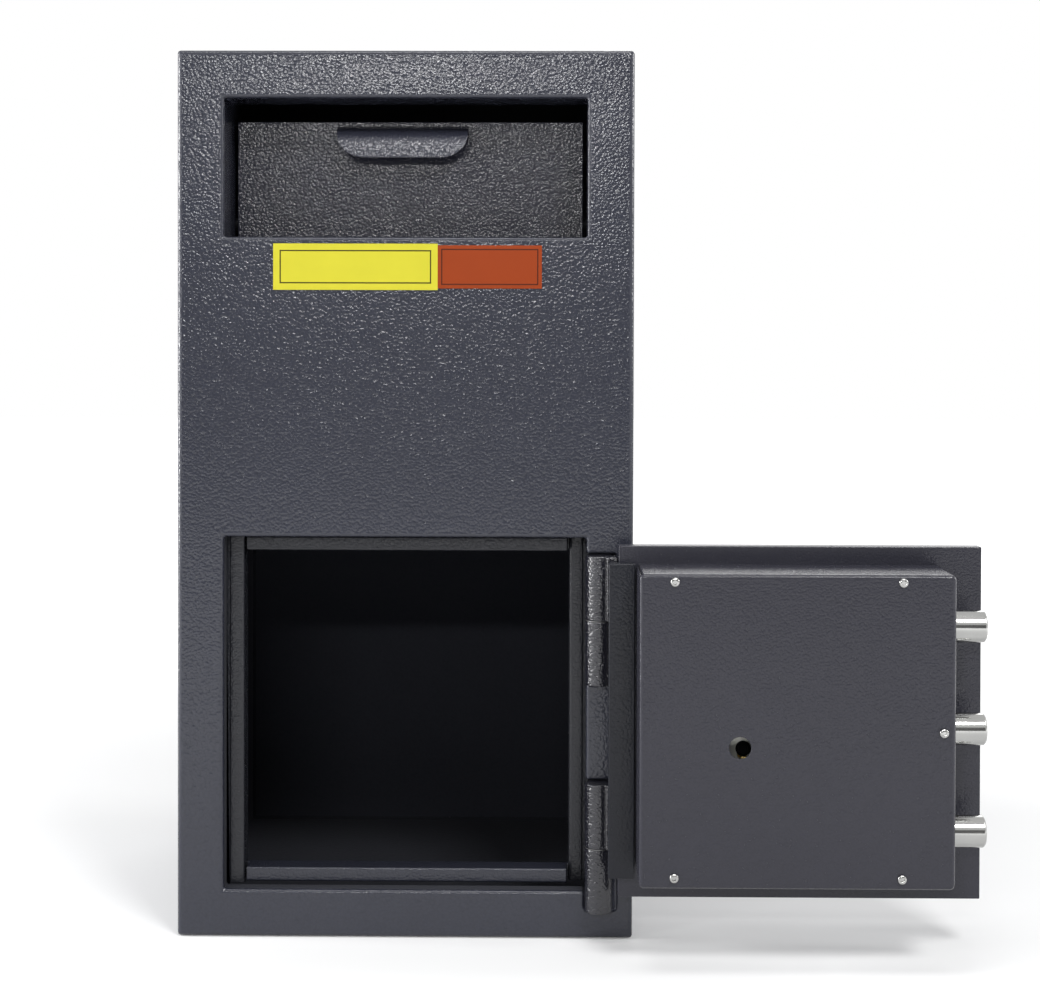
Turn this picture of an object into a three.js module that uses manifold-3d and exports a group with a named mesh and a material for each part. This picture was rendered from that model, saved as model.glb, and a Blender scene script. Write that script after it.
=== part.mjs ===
// Drop safe with a deposit drawer over a thick hinged door.
// Millimetres, +Z up. The origin is the centre of the base and the front face looks along -Y.
// The model is at rest as the object stands: door swung fully open, its bolts thrown, drawer closed.
// Pieces at the front are placed from the plane of the front face: y grows from there into the body.
// Pieces of the door are placed as if it were shut, inside a group that is turned about the hinges.

import * as THREE from 'three';
import { mergeVertices } from 'three/addons/utils/BufferGeometryUtils.js';
import Module from 'manifold-3d';

const wasm = await Module();
wasm.setup();

// Clearances
const fitGap = 0.3;
const runGap = 0.35;

// Body: a folded steel box, closed by a welded back
const bodyWidth = 356;
const bodyHeight = 692;
const bodyDepth = 356;
const bodyWall = 4;
const bodyBend = 4;
const faceSideMargin = 36.5;
const rimBend = 3;
const rimWall = 3;

// Doorway in the front face, with its turned-in rims
const doorwayWidth = bodyWidth - 2 * faceSideMargin;
const doorwayHeight = 276;
const doorwayBottom = 37;
const rimDepth = 16;
const hingeRimDepth = 8;

// Door plate, and the play around it
const doorThickness = 12.7;
const doorSetback = 1.8;
const doorPlay = 3;
const doorFreePlay = 1.6;
const doorHingePlay = 4.4;
const doorOpenAngle = Math.PI;

// Frame behind the doorway
const jambFace = 14;
const hingeJambFace = 13.5;
const jambWall = 3;
const jambReturn = 17;
const jambStep = 1.2;
const jambStepMargin = 2.6;
const crossBarHeight = 11;
const crossBarDepth = 12.7;
const crossBarEndGap = 1.4;
const crossBarRimGap = 2;
const strapWall = 3;
const headerInset = 1;

// Hinges
const hingeOffset = 10;
const hingeProud = 5;
const barrelRadius = 10.7;
const knuckleLength = 50;
const knuckleGap = 0.5;
const upperHingeDrop = 12.8;
const lowerHingeDrop = 14;
const notchMargin = 0.8;
const notchOuterMargin = 3;
const leafWall = 4;
const leafOverlap = 6.5;
const pinRadius = 5;
const pinCover = 7;
const weldTabReach = 8;

// Dead bar on the hinge side of the door
const deadBarThickness = 12.7;
const deadBarWidth = 20;
const deadBarOverhang = 7.8;
const deadBarTopMargin = 12.6;
const deadBarBottomMargin = 17.4;
const deadBarPlay = 1.8;

// Boltwork cover
const coverDepth = 62;
const coverWall = 2;
const coverBend = 3;
const coverCorner = 4;
const coverTopMargin = 14;
const coverBottomMargin = 24;
const coverFreeMargin = 31.2;
const coverBarGap = 1.2;
const coverRelief = 2.2;
const coverHoleRadius = 8.1;

// Cover screws and the posts that they enter
const screwTopInset = 5.8;
const screwBottomInset = 8.3;
const screwHingeInset = 26;
const screwFreeInset = 39.2;
const guideScrewInset = 9;
const screwHeadRadius = 3.4;
const screwHeadHeight = 2.2;
const screwShankRadius = 1.7;
const screwLength = 9;
const postRadius = 3.7;

// Locking bolts and the carriage that moves them
const boltRadius = 12;
const boltSpacing = 76.5;
const boltRise = 3.5;
const boltStandoff = 38;
const boltTravel = 22;
const boltThrowMargin = 5.4;
const boltTailCover = 68.7;
const tailSlotDepth = 13.7;
const carriageWall = 6;
const carriageWidth = 70;
const carriageEndMargin = 14;
const armHeight = 14;
const lugWall = 5;

// Bracket that guides the bolts, and the studs that guide the carriage
const guideInset = 9.6;
const guideWall = 4;
const guideFlange = 3;
const guideFoot = 12;
const guideEndMargin = 8;
const studRadius = 4;
const studHeadRadius = 7;
const studHeadHeight = 2.5;
const studFromEdge = 52;
const studEndInset = 24;

// Handle and its crank
const handleX = -40;
const handleZ = -32;
const spindleRadius = 6;
const roseRadius = 22;
const roseHeight = 6;
const hubRadius = 13;
const hubHeight = 26;
const leverLength = 88;
const leverWidth = 16;
const leverThickness = 11;
const crankWall = 6;
const crankHubRadius = 10.5;
const crankPinRadius = 3;
const crankSlotPlay = 0.75;
const bushRadius = 10;

// Combination lock
const dialX = 33;
const dialZ = -32;
const dialRadius = 33;
const dialHeight = 30;
const dialKnobRadius = 16;
const dialRingRadius = 43;
const dialRingHeight = 9;
const dialSpindleRadius = 4;
const hardPlateWall = 6;
const hardPlateMargin = 3;
const lockWidth = 60;
const lockHeight = 83;
const lockBelowDial = 41;
const lockDepth = 22;
const lockWall = 3;
const lockCoverWall = 2.5;
const changeHoleRadius = 4.2;
const changeHoleX = 12;
const changeHoleZ = 14.5;
const coverHoleShiftX = 4.4;
const coverHoleShiftZ = 10.8;
const wheelRadius = 19;
const wheelWall = 2.5;
const wheelPitch = 3.6;
const wheelCount = 3;
const camRadius = 17;
const camWall = 4;
const gateWidth = 5;
const gateDepth = 6;
const lockBoltWidth = 12;
const lockBoltDepth = 9;
const lockBoltLength = 20;
const lockBoltThrow = 9;
const lugBite = 6.5;
const lugPlay = 1.5;

// Deposit drawer
const mouthTopMargin = 37;
const mouthWidth = bodyWidth - 2 * faceSideMargin;
const mouthHeight = 108;
const mouthBottom = bodyHeight - mouthTopMargin - mouthHeight;
const recessDepth = 48.5;
const surroundWall = 3;
const earDepth = 100;
const earDrop = 20;
const drawerSheet = 3;
const drawerSideGap = 2.9;
const drawerBottomGap = 1.5;
const drawerTopGap = 13.5;
const drawerSideWall = 2.5;
const trayWall = 2.5;
const traySlope = THREE.MathUtils.degToRad(25);
const trayLength = 100;
const trayRise = 3.5;
const pivotBack = 13.5;
const pivotUp = 11.5;
const pivotRadius = 5;
const pivotHeadRadius = 8;
const pivotHeadHeight = 4;
const stopFromFront = 38;
const stopLength = 12;
const stopReach = 13;
const stopWall = 3;

// Lip that the drawer is pulled by
const lipWidth = 104;
const lipShift = -5;
const lipReach = 20;
const lipHeight = 26.5;
const lipSheet = 3;
const lipBelowTop = 3.7;
const lipCornerWidth = 21.5;
const lipCornerHeight = 19.5;

// Baffle behind the drawer
const baffleWall = 2.5;
const baffleBehindTray = 2.2;
const baffleHeight = 98;
const baffleFlange = 26;
const toothPitch = 17;
const toothDepth = 7;

// Blank stickers
const stickerWall = 0.4;
const stickerDrop = 5.3;
const yellowWidth = 128;
const yellowHeight = 36;
const yellowInset = 38.7;
const brownWidth = 81;
const brownHeight = 33.5;
const brownDrop = 1.2;

// Roundness of turned pieces
const fineSides = 48;
const roundSides = 32;
const smallSides = 16;
const bendSteps = 5;

// Colours
const paint = { color: 0x50525a, roughness: 0.5, metalness: 0.3 };
const darkPaint = { color: 0x3a3c42, roughness: 0.6, metalness: 0.3 };
const bareSteel = { color: 0xc9cacb, roughness: 0.25, metalness: 1 };
const darkSteel = { color: 0x6d6e70, roughness: 0.45, metalness: 0.9 };
const zinc = { color: 0xb9b7ac, roughness: 0.45, metalness: 0.8 };
const brass = { color: 0xb8954f, roughness: 0.35, metalness: 1 };
const black = { color: 0x151517, roughness: 0.4, metalness: 0.1 };
const yellow = { color: 0xddd544, roughness: 0.5, metalness: 0 };
const brown = { color: 0xa0482a, roughness: 0.5, metalness: 0 };

// Turns a closed geometry into a solid that can be joined and cut, facing outwards
function solid(geometry) {
  const bare = geometry.index ? geometry.toNonIndexed() : geometry.clone();
  for (const name of Object.keys(bare.attributes)) {
    if (name !== 'position') bare.deleteAttribute(name);
  }
  const merged = mergeVertices(bare, 1e-4);
  const place = new THREE.Vector3();
  const corners = [new THREE.Vector3(), new THREE.Vector3(), new THREE.Vector3()];
  const triangles = [];
  let volume = 0;
  for (let i = 0; i < merged.index.count; i += 3) {
    const [a, b, c] = [0, 1, 2].map((k) => merged.index.getX(i + k));
    if (a === b || b === c || c === a) continue;
    triangles.push(a, b, c);
    [a, b, c].forEach((vertex, k) => corners[k].fromBufferAttribute(merged.attributes.position, vertex));
    volume += corners[0].dot(place.crossVectors(corners[1], corners[2]));
  }
  if (volume < 0) triangles.reverse();
  return new wasm.Manifold(new wasm.Mesh({
    numProp: 3,
    vertProperties: new Float32Array(merged.attributes.position.array),
    triVerts: new Uint32Array(triangles),
  }));
}

// Named mesh of a finished solid
function piece(name, body, look) {
  const mesh = body.getMesh();
  const geometry = new THREE.BufferGeometry();
  geometry.setAttribute('position', new THREE.BufferAttribute(new Float32Array(mesh.vertProperties), 3));
  geometry.setIndex(new THREE.BufferAttribute(new Uint32Array(mesh.triVerts), 1));
  geometry.computeVertexNormals();
  const result = new THREE.Mesh(geometry, new THREE.MeshStandardMaterial(look));
  result.name = name;
  return result;
}

// Box between two limits on each axis
function block([x0, x1], [y0, y1], [z0, z1]) {
  const geometry = new THREE.BoxGeometry(x1 - x0, y1 - y0, z1 - z0);
  geometry.translate((x0 + x1) / 2, (y0 + y1) / 2, (z0 + z1) / 2);
  return solid(geometry);
}

// Moves an outline drawn flat so that it is extruded along an axis, between two limits.
// Drawn points are (y, z) for axis x, (x, z) for axis y and (x, y) for axis z.
function prism(shape, axis, [from, to], options = {}) {
  const { bevel = 0, flare = 0, steps = bendSteps, curve = 6 } = options;
  const round = bevel || flare;
  const points = shape.getPoints(curve).filter((point, index, all) => (
    point.distanceTo(all[(index + all.length - 1) % all.length]) > 0.005
  ));
  const geometry = new THREE.ExtrudeGeometry(new THREE.Shape(points), {
    depth: to - from - 2 * round,
    bevelEnabled: round > 0,
    bevelThickness: round,
    bevelSize: bevel ? bevel : -flare,
    bevelOffset: bevel ? -bevel : flare,
    bevelSegments: steps,
  });
  geometry.translate(0, 0, round);
  if (axis === 'x') {
    geometry.applyMatrix4(new THREE.Matrix4().set(0, 0, 1, from, 1, 0, 0, 0, 0, 1, 0, 0, 0, 0, 0, 1));
  } else if (axis === 'y') {
    geometry.rotateX(Math.PI / 2);
    geometry.translate(0, to, 0);
  } else {
    geometry.translate(0, 0, from);
  }
  return solid(geometry);
}

// Round bar along an axis through a point given on the other two axes, in the order x, y, z
function rod(axis, radius, [from, to], [a, b], sides = roundSides) {
  const geometry = new THREE.CylinderGeometry(radius, radius, to - from, sides);
  const middle = (from + to) / 2;
  if (axis === 'x') geometry.rotateZ(Math.PI / 2).translate(middle, a, b);
  if (axis === 'y') geometry.translate(a, middle, b);
  if (axis === 'z') geometry.rotateX(Math.PI / 2).translate(a, b, middle);
  return solid(geometry);
}

// Turned piece about an axis along y, from points (radius, y) that start and end on the axis
function turned(points, [x, z], sides = roundSides) {
  const outline = points.map(([r, y]) => new THREE.Vector2(r, y));
  return solid(new THREE.LatheGeometry(outline, sides).translate(x, 0, z));
}

function polygon(points) {
  return new THREE.Shape(points.map(([u, v]) => new THREE.Vector2(u, v)));
}

function roundedRectangle([u0, u1], [v0, v1], radius) {
  const shape = new THREE.Shape();
  shape.moveTo(u0 + radius, v0);
  shape.lineTo(u1 - radius, v0);
  shape.absarc(u1 - radius, v0 + radius, radius, -Math.PI / 2, 0);
  shape.lineTo(u1, v1 - radius);
  shape.absarc(u1 - radius, v1 - radius, radius, 0, Math.PI / 2);
  shape.lineTo(u0 + radius, v1);
  shape.absarc(u0 + radius, v1 - radius, radius, Math.PI / 2, Math.PI);
  shape.lineTo(u0, v0 + radius);
  shape.absarc(u0 + radius, v0 + radius, radius, Math.PI, 1.5 * Math.PI);
  return shape;
}

function rectangle([u0, u1], [v0, v1]) {
  return polygon([[u0, v0], [u1, v0], [u1, v1], [u0, v1]]);
}

// Level of the front face in the whole object, and places worked out from the sizes
const frontY = -bodyDepth / 2;
const doorwayHalf = doorwayWidth / 2;
const doorwayTop = doorwayBottom + doorwayHeight;
const doorwayMiddle = (doorwayBottom + doorwayTop) / 2;
const innerHalf = bodyWidth / 2 - bodyWall;
const mouthHalf = mouthWidth / 2;
const mouthTop = mouthBottom + mouthHeight;

// Door plate as shut
const plateHinge = doorwayHalf - doorHingePlay;
const plateFree = -doorwayHalf + doorFreePlay;
const plateBottom = doorwayBottom + doorPlay;
const plateTop = doorwayTop - doorPlay;
const plateInner = doorSetback + doorThickness;

// Hinge axis and the levels of its knuckles
const hingeX = doorwayHalf + hingeOffset;
const hingeY = -hingeProud;
const hingeLength = 2 * knuckleLength + knuckleGap;
const hingeBottoms = {
  upper: doorwayTop - upperHingeDrop - hingeLength,
  lower: doorwayBottom - lowerHingeDrop,
};
const notchInner = Math.min(hingeX - barrelRadius - fitGap, doorwayHalf - fitGap);
const notchOuter = hingeX + barrelRadius + notchOuterMargin;

// Frame levels behind the face
const jambFront = rimDepth + fitGap;
const jambBack = jambFront + jambReturn;
const deadBarInner = plateInner + fitGap;
const hingeJambFront = Math.max(jambFront, deadBarInner + deadBarThickness + deadBarPlay);
const strapFront = Math.max(jambBack, hingeJambFront + jambWall) + fitGap;
const hingeJambBack = strapFront - fitGap;

// Boltwork cover as shut
const barOuter = plateHinge + deadBarOverhang;
const barInner = barOuter - deadBarWidth;
const coverHingeX = barInner - coverBarGap;
const coverFreeX = plateFree + coverFreeMargin;
const coverBottom = plateBottom + coverBottomMargin;
const coverTop = plateTop - coverTopMargin;
const coverBack = plateInner + coverDepth;
const coverInside = coverBack - coverWall;

// Boltwork, thrown
const boltY = plateInner + boltStandoff;
const boltMiddle = doorwayMiddle + boltRise;
const boltHeights = {
  bottom: boltMiddle - boltSpacing,
  middle: boltMiddle,
  top: boltMiddle + boltSpacing,
};
const boltEnd = plateFree + boltThrowMargin;
const boltTail = boltEnd + boltTailCover;
const carriageLeft = boltTail - tailSlotDepth + fitGap;
const carriageRight = carriageLeft + carriageWidth;
const carriageFront = boltY - carriageWall / 2;
const carriageBack = boltY + carriageWall / 2;
const carriageBottom = boltHeights.bottom - carriageEndMargin;
const carriageTop = boltHeights.top + carriageEndMargin;
const crankRadius = boltTravel / Math.SQRT2;
const spindleZ = doorwayMiddle + handleZ;
const lockX = dialX;
const lockZ = doorwayMiddle + dialZ;

// Lock body
const hardPlateBack = plateInner + fitGap + hardPlateWall;
const lockFront = hardPlateBack + fitGap;
const lockBack = lockFront + lockDepth;
const lockBottom = lockZ - lockBelowDial;
const lockTop = lockBottom + lockHeight;
const lockBoltY = lockFront + lockDepth / 2 + 2;
const lockBoltTop = lockTop - fitGap;
const lugRight = lockX - lockBoltWidth / 2 - lugPlay;
const lugLeft = lugRight - lugWall;
const lugBottom = lockBoltTop + lockBoltThrow - lugBite;
const armBottom = lockBoltTop + lockBoltThrow + lugPlay;

// Drawer
const pivotY = recessDepth + pivotBack;
const drawerHalf = mouthHalf - drawerSideGap;
const drawerBottom = mouthBottom + drawerBottomGap;
const drawerTop = mouthTop - drawerTopGap;
const drawerBack = recessDepth + drawerSheet;
const pivotZ = drawerBottom + pivotUp;
const trayFrontY = drawerBack + fitGap + trayWall * Math.sin(traySlope);
const trayFrontZ = drawerBottom + trayRise;
const trayHalf = drawerHalf - drawerSideWall - fitGap;
const trayEndY = trayFrontY + trayLength * Math.cos(traySlope);
const trayEndZ = trayFrontZ - trayLength * Math.sin(traySlope);
const traySweep = Math.hypot(trayEndY - pivotY, trayEndZ - pivotZ);

// Steel box: face, sides, top and bottom folded from sheet, with rims turned in round both openings
function bodyShell() {
  const outline = rectangle([-bodyWidth / 2, bodyWidth / 2], [0, bodyHeight]);
  const spare = 2 * bodyBend;
  const outer = prism(outline, 'y', [0, bodyDepth + spare], { bevel: bodyBend })
    .subtract(block([-bodyWidth, bodyWidth], [bodyDepth, bodyDepth + 2 * spare], [-1, bodyHeight + 1]));
  const hollow = block(
    [-innerHalf, innerHalf],
    [bodyWall, bodyDepth + 1],
    [bodyWall, bodyHeight - bodyWall],
  );
  const rims = block(
    [-doorwayHalf - rimWall, doorwayHalf + rimWall],
    [bodyWall / 2, rimDepth],
    [doorwayBottom - rimWall, doorwayTop + rimWall],
  ).subtract(block(
    [doorwayHalf - 1, doorwayHalf + rimWall + 1],
    [hingeRimDepth, rimDepth + 1],
    [doorwayBottom - rimWall - 1, doorwayTop + rimWall + 1],
  ));
  const cutterDepth = rimDepth + 2 * rimBend + 1;
  const doorway = prism(
    rectangle([-doorwayHalf, doorwayHalf], [doorwayBottom, doorwayTop]),
    'y', [0, cutterDepth], { flare: rimBend },
  );
  const mouth = prism(
    rectangle([-mouthHalf, mouthHalf], [mouthBottom, mouthTop]),
    'y', [0, cutterDepth], { flare: rimBend },
  );
  let shell = outer.subtract(hollow).add(rims).subtract(doorway).subtract(mouth);
  for (const bottom of Object.values(hingeBottoms)) {
    shell = shell.subtract(block(
      [notchInner, notchOuter],
      [-1, rimDepth + 1],
      [bottom - notchMargin, bottom + hingeLength + notchMargin],
    ));
  }
  return shell;
}

// Plate that closes the box behind
function backPanel() {
  return block(
    [-innerHalf + fitGap, innerHalf - fitGap],
    [bodyDepth - bodyWall, bodyDepth],
    [bodyWall + fitGap, bodyHeight - bodyWall - fitGap],
  );
}

// Angle on the side where the bolts engage: a face strip with a stepped edge and a return behind it
function latchJamb() {
  const outer = -doorwayHalf - rimWall;
  const inner = -doorwayHalf + jambFace;
  const profile = polygon([
    [outer, jambFront + jambStep],
    [-doorwayHalf + jambStepMargin, jambFront + jambStep],
    [-doorwayHalf + jambStepMargin, jambFront],
    [inner - jambWall, jambFront],
    [inner - jambWall * 0.3, jambFront + jambWall * 0.3],
    [inner, jambFront + jambWall],
    [inner, jambBack],
    [inner - jambWall, jambBack],
    [inner - jambWall, jambFront + jambWall],
    [outer, jambFront + jambWall],
  ]);
  return prism(profile, 'z', [doorwayBottom + fitGap, doorwayTop - fitGap]);
}

// Angle on the hinge side, set back so that the dead bar turns in ahead of it
function hingeJamb() {
  const outer = doorwayHalf + rimWall;
  const inner = doorwayHalf - hingeJambFace;
  const profile = polygon([
    [doorwayHalf - jambStepMargin, hingeJambFront],
    [doorwayHalf - jambStepMargin, hingeJambFront + jambStep],
    [outer, hingeJambFront + jambStep],
    [outer, hingeJambBack],
    [inner, hingeJambBack],
    [inner, hingeJambFront + jambWall],
    [inner + jambWall * 0.3, hingeJambFront + jambWall * 0.3],
    [inner + jambWall, hingeJambFront],
  ]);
  return prism(profile, 'z', [doorwayBottom + fitGap, doorwayTop - fitGap]);
}

// Cross bar between the jambs, carried by a strap that lies behind them
function crossBar(bottom) {
  const left = -doorwayHalf + jambFace + crossBarEndGap;
  const right = doorwayHalf - hingeJambFace - crossBarEndGap;
  const levels = [bottom, bottom + crossBarHeight];
  const bar = prism(
    roundedRectangle([jambFront, jambFront + crossBarDepth], levels, 1.5),
    'x', [left, right], { curve: 2 },
  );
  const web = block([left, right], [jambFront + crossBarDepth / 2, strapFront + strapWall / 2], levels);
  const strap = block(
    [-doorwayHalf - rimWall, doorwayHalf + rimWall],
    [strapFront, strapFront + strapWall],
    levels,
  );
  return bar.add(web).add(strap);
}

// Lower half of a hinge, let into the face and welded to it by a leaf behind
function bodyKnuckle(bottom) {
  const top = bottom + knuckleLength;
  const barrel = rod('z', barrelRadius, [bottom, top], [hingeX, hingeY]);
  const leaf = block(
    [hingeX - barrelRadius / 2, notchOuter + leafOverlap],
    [bodyWall + fitGap, bodyWall + fitGap + leafWall],
    [bottom, top],
  );
  const bore = rod('z', pinRadius + runGap, [bottom + pinCover, top + 1], [hingeX, hingeY]);
  return barrel.add(leaf).subtract(bore);
}

// Upper half of a hinge, welded to the edge of the door plate by its tab
function doorKnuckle(hingeBottom) {
  const bottom = hingeBottom + knuckleLength + knuckleGap;
  const top = bottom + knuckleLength;
  const barrel = rod('z', barrelRadius, [bottom, top], [hingeX, hingeY]);
  const tab = block([plateHinge + fitGap, hingeX - barrelRadius / 2], [hingeY, weldTabReach], [bottom, top]);
  const bore = rod('z', pinRadius + runGap, [bottom - 1, top - pinCover], [hingeX, hingeY]);
  return barrel.add(tab).subtract(bore);
}

function hingePin(bottom) {
  const levels = [bottom + pinCover + fitGap, bottom + hingeLength - pinCover - fitGap];
  return rod('z', pinRadius, levels, [hingeX, hingeY]);
}

// Door plate with the holes for both spindles
function doorPlate() {
  const plate = block([plateFree, plateHinge], [doorSetback, plateInner], [plateBottom, plateTop]);
  const through = [doorSetback - 1, plateInner + 1];
  const handleHole = rod('y', spindleRadius + runGap, through, [handleX, spindleZ]);
  const dialHole = rod('y', dialSpindleRadius + runGap, through, [lockX, lockZ]);
  return plate.subtract(handleHole).subtract(dialHole);
}

function deadBar() {
  return block(
    [barInner, barOuter],
    [deadBarInner, deadBarInner + deadBarThickness],
    [plateBottom + deadBarBottomMargin, plateTop - deadBarTopMargin],
  );
}

// Places of the cover screws on the door, as shut
const postScrews = [
  [coverHingeX - screwHingeInset, coverTop - screwTopInset],
  [coverFreeX + screwFreeInset, coverTop - screwTopInset],
  [coverHingeX - screwHingeInset, coverBottom + screwBottomInset],
  [coverFreeX + screwFreeInset, coverBottom + screwBottomInset],
];
const guideScrew = [coverFreeX + guideScrewInset, (coverBottom + coverTop) / 2];

// Folded pan over the boltwork, slotted where the bolts come out
function boltworkCover() {
  const outline = roundedRectangle([coverFreeX, coverHingeX], [coverBottom, coverTop], coverCorner);
  const base = plateInner + fitGap;
  const pan = prism(outline, 'y', [base - 2 * coverBend, coverBack], { bevel: coverBend, curve: 3 })
    .subtract(block([coverFreeX - 1, coverHingeX + 1], [-coverDepth, base], [coverBottom - 1, coverTop + 1]))
    .subtract(block(
      [coverHingeX - coverRelief, coverHingeX + 1],
      [base - 1, coverBack - coverBend],
      [coverTop - coverRelief, coverTop + 1],
    ));
  let cover = pan.subtract(block(
    [coverFreeX + coverWall, coverHingeX - coverWall],
    [base - 1, coverInside],
    [coverBottom + coverWall, coverTop - coverWall],
  ));
  for (const height of Object.values(boltHeights)) {
    const hole = boltRadius + 2 * runGap;
    const across = [coverFreeX - 1, coverFreeX + coverWall + 1];
    cover = cover
      .subtract(rod('x', hole, across, [boltY, height]))
      .subtract(block(across, [base - 1, boltY], [height - hole, height + hole]));
  }
  for (const [x, z] of [...postScrews, guideScrew]) {
    cover = cover.subtract(rod('y', screwShankRadius + runGap, [coverInside - 1, coverBack + 1], [x, z], smallSides));
  }
  const holeAt = [lockX + changeHoleX + coverHoleShiftX, lockZ + changeHoleZ + coverHoleShiftZ];
  return cover.subtract(rod('y', coverHoleRadius, [coverInside - 1, coverBack + 1], holeAt));
}

// Pan-head screw with a hexagonal socket
function coverScrew([x, z]) {
  const under = coverBack + fitGap;
  const top = under + screwHeadHeight;
  const screw = turned([
    [0, top - screwLength],
    [screwShankRadius, top - screwLength],
    [screwShankRadius, under],
    [screwHeadRadius, under],
    [screwHeadRadius, under + screwHeadHeight * 0.55],
    [screwHeadRadius * 0.75, top],
    [0, top],
  ], [x, z], smallSides);
  return screw.subtract(rod('y', screwHeadRadius * 0.42, [top - 1.2, top + 1], [x, z], 6));
}

// Post between the door plate and the cover, bored for its screw
function coverPost([x, z]) {
  const post = rod('y', postRadius, [plateInner + fitGap, coverInside - fitGap], [x, z], smallSides);
  return post.subtract(rod('y', screwShankRadius + runGap, [coverInside - screwLength - 2, coverInside], [x, z], smallSides));
}

// Bracket with a hole for each bolt; its flange takes the screw at the free edge of the cover
function boltGuide() {
  const web = [coverFreeX + guideInset + coverWall, coverFreeX + guideInset + coverWall + guideWall];
  const levels = [boltHeights.bottom - boltRadius - guideEndMargin, boltHeights.top + boltRadius + guideEndMargin];
  const top = coverInside - fitGap;
  let guide = block(web, [plateInner + fitGap, top], levels)
    .add(block([coverFreeX + coverWall + fitGap, web[1]], [top - guideFlange, top], levels))
    .add(block([web[0], web[1] + guideFoot], [plateInner + fitGap, plateInner + fitGap + guideFlange], levels));
  for (const height of Object.values(boltHeights)) {
    guide = guide.subtract(rod('x', boltRadius + runGap, [web[0] - 1, web[1] + 1], [boltY, height]));
  }
  const [x, z] = guideScrew;
  return guide.subtract(rod('y', screwShankRadius + runGap, [top - guideFlange - 1, top + 1], [x, z], smallSides));
}

// Round bolt with a turned edge at its end and a slot at its tail for the carriage
function lockingBolt(height) {
  const outline = [
    [0, 0], [boltRadius - 1.5, 0], [boltRadius, 1.5],
    [boltRadius, boltTail - boltEnd], [0, boltTail - boltEnd],
  ].map(([r, y]) => new THREE.Vector2(r, y));
  const geometry = new THREE.LatheGeometry(outline, fineSides).rotateZ(-Math.PI / 2);
  const bolt = solid(geometry.translate(boltEnd, boltY, height));
  return bolt.subtract(block(
    [boltTail - tailSlotDepth, boltTail + 1],
    [carriageFront - fitGap, carriageBack + fitGap],
    [height - boltRadius - 1, height + boltRadius + 1],
  ));
}

// Studs on which the carriage slides; each stands in one of its slots
const studX = carriageLeft + studFromEdge;
const studHeights = [carriageBottom + studEndInset, carriageTop - studEndInset];

function guideStud(height) {
  const neck = rod('y', studRadius, [plateInner + fitGap, carriageBack + runGap], [studX, height]);
  const collar = rod('y', studHeadRadius, [plateInner + fitGap, carriageFront - runGap], [studX, height]);
  const head = rod('y', studHeadRadius, [carriageBack + runGap, carriageBack + runGap + studHeadHeight], [studX, height]);
  return neck.add(collar).add(head);
}

// Slot as long as a pin's travel, open through the carriage
function slot([left, right], [bottom, top], radius) {
  return prism(roundedRectangle([left - radius, right + radius], [bottom - radius, top + radius], radius - 0.01),
    'y', [carriageFront - 1, carriageBack + 1]);
}

// Flat carriage that carries the bolts, with the arm and lug that the lock's bolt blocks
function boltCarriage() {
  const thickness = [carriageFront, carriageBack];
  let carriage = block([carriageLeft, carriageRight], thickness, [carriageBottom, carriageTop])
    .add(block([carriageRight - 1, lugRight], thickness, [armBottom, armBottom + armHeight]))
    .add(block([lugLeft, lugRight], [lockBoltY - lockBoltDepth / 2, carriageBack], [lugBottom, armBottom + armHeight]));
  for (const height of studHeights) {
    carriage = carriage.subtract(slot([studX - boltTravel, studX], [height, height], studRadius + runGap));
  }
  const pinX = handleX - crankRadius * Math.SQRT1_2;
  const pinLevels = [spindleZ - crankRadius, spindleZ - crankRadius * Math.SQRT1_2];
  return carriage.subtract(slot([pinX, pinX], pinLevels, crankPinRadius + crankSlotPlay));
}

// Turning rose, lever, spindle and crank that move the carriage
function handleRose() {
  const rose = turned([
    [0, doorSetback - fitGap],
    [0, doorSetback - fitGap - roseHeight],
    [roseRadius - 2, doorSetback - fitGap - roseHeight],
    [roseRadius, doorSetback - fitGap - roseHeight + 2],
    [roseRadius, doorSetback - fitGap],
    [0, doorSetback - fitGap],
  ].slice(1), [handleX, spindleZ]);
  return rose.subtract(rod('y', spindleRadius + runGap, [-roseHeight - 2, doorSetback + 1], [handleX, spindleZ]));
}

function handleLever() {
  const base = doorSetback - roseHeight - 2 * fitGap;
  const outer = base - hubHeight;
  const hub = turned([
    [0, outer], [hubRadius - 3, outer], [hubRadius, outer + 3], [hubRadius, base], [0, base],
  ], [handleX, spindleZ]);
  const outline = new THREE.Shape();
  const half = leverWidth / 2;
  outline.moveTo(handleX, spindleZ - half);
  outline.lineTo(handleX, spindleZ + half);
  outline.lineTo(handleX - leverLength + half, spindleZ + half * 0.8);
  outline.absarc(handleX - leverLength + half, spindleZ, half * 0.8, Math.PI / 2, 1.5 * Math.PI);
  const bar = prism(outline, 'y', [outer, outer + leverThickness], { bevel: 2.5, steps: 2 });
  const bore = rod('y', spindleRadius + fitGap, [base - hubHeight / 2, base + 1], [handleX, spindleZ]);
  return hub.add(bar).subtract(bore);
}

const crankFront = carriageFront - runGap - crankWall;

function handleSpindle() {
  const outer = doorSetback - roseHeight - 2 * fitGap - hubHeight / 2;
  return rod('y', spindleRadius, [outer + fitGap, crankFront + crankWall - fitGap], [handleX, spindleZ]);
}

function spindleBush() {
  const bush = rod('y', bushRadius, [plateInner + fitGap, crankFront - fitGap], [handleX, spindleZ]);
  return bush.subtract(rod('y', spindleRadius + runGap, [plateInner - 1, crankFront + 1], [handleX, spindleZ]));
}

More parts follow.
